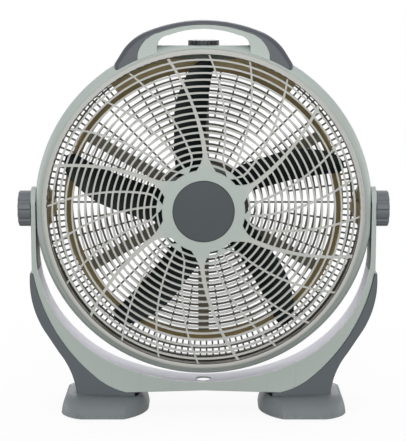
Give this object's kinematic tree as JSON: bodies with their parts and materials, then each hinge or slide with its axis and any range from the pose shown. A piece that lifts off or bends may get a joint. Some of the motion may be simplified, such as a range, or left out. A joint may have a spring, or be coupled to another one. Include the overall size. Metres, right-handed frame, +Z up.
{
  "type": "drum floor fan",
  "caption": "Round drum floor fan with ringed front grille, carry handle, speed knob and a head that tilts in a yoke stand on broad feet.",
  "frame": {"origin": "on the floor, at the middle of the footprint", "axes": "+Z up, +X to the right seen from the front, the air blows towards -Y"},
  "size_m": [0.5972, 0.182, 0.6336],
  "materials": {
    "shell": "fine satin moulding",
    "leg_plastic": "satin moulding",
    "handle_plastic": "satin moulding",
    "foot_plastic": "satin moulding",
    "rubber": "matte rubber",
    "badge": "satin disc",
    "rear_casing": "satin moulding in shade",
    "cover_plastic": "satin moulding",
    "blade_plastic": "semi-gloss moulding",
    "knob_plastic": "satin moulding",
    "dial_plastic": "satin moulding",
    "switch_plastic": "plain moulding",
    "lead_sheath": "smooth sheath",
    "motor_metal": "cast",
    "laminations": "stacked sheet",
    "copper": "varnished wire",
    "bronze": "plain",
    "steel": "zinc plated"
  },
  "bodies": {
    "base": {"yoke": "shell", "left_leg": "leg_plastic", "right_leg": "leg_plastic", "left_foot": "foot_plastic", "right_foot": "foot_plastic", "foot_pads": "rubber", "leg_screws": "steel"},
    "head": {"capacitor": "switch_plastic", "case_screws": "steel", "cord_gland": "rubber", "cover_screws": "steel", "dial_plate": "dial_plastic", "drum": "shell", "front_bearing": "bronze", "front_bell": "motor_metal", "front_grille": "shell", "handle_cover": "handle_plastic", "handle_frame": "shell", "handle_screws": "steel", "hub_badge": "badge", "lead_cover": "cover_plastic", "left_pivot_block": "rear_casing", "motor_bolts": "steel", "motor_cover": "cover_plastic", "motor_screws": "steel", "pivot_inserts": "bronze", "rear_bearing": "bronze", "rear_bell": "motor_metal", "rear_grille": "rear_casing", "right_pivot_block": "rear_casing", "rotary_switch": "switch_plastic", "stator_coils": "copper", "stator_core": "laminations", "switch_cover": "switch_plastic", "switch_lead": "lead_sheath", "switch_screws": "steel", "tilt_washers": "steel"},
    "fan": {"impeller": "blade_plastic", "blade_nut": "blade_plastic", "motor_shaft": "steel", "rotor": "laminations", "thrust_washers": "steel", "drive_pin": "steel"},
    "left_knob": {"left_tilt_knob": "knob_plastic", "left_knob_bolt": "steel"},
    "right_knob": {"right_tilt_knob": "knob_plastic", "right_knob_bolt": "steel"},
    "dial": {"speed_knob": "dial_plastic", "switch_shaft": "steel"}
  },
  "joints": [
    {"name": "head_tilt", "type": "hinge", "parent": "base", "child": "head", "pos_m": [0, -0.007, 0.331], "axis": [1, 0, 0], "range_deg": [-90, 90]},
    {"name": "fan_spin", "type": "hinge", "parent": "head", "child": "fan", "pos_m": [0, 0, 0.334], "axis": [0, 1, 0], "continuous": true},
    {"name": "left_knob_turn", "type": "hinge", "parent": "head", "child": "left_knob", "pos_m": [-0.29, -0.007, 0.331], "axis": [-1, 0, 0], "range_deg": [0, 360]},
    {"name": "right_knob_turn", "type": "hinge", "parent": "head", "child": "right_knob", "pos_m": [0.29, -0.007, 0.331], "axis": [1, 0, 0], "range_deg": [0, 360]},
    {"name": "speed_knob_turn", "type": "hinge", "parent": "head", "child": "dial", "pos_m": [0, 0.002, 0.59], "axis": [0, 0, 1], "range_deg": [-135, 0]}
  ]
}
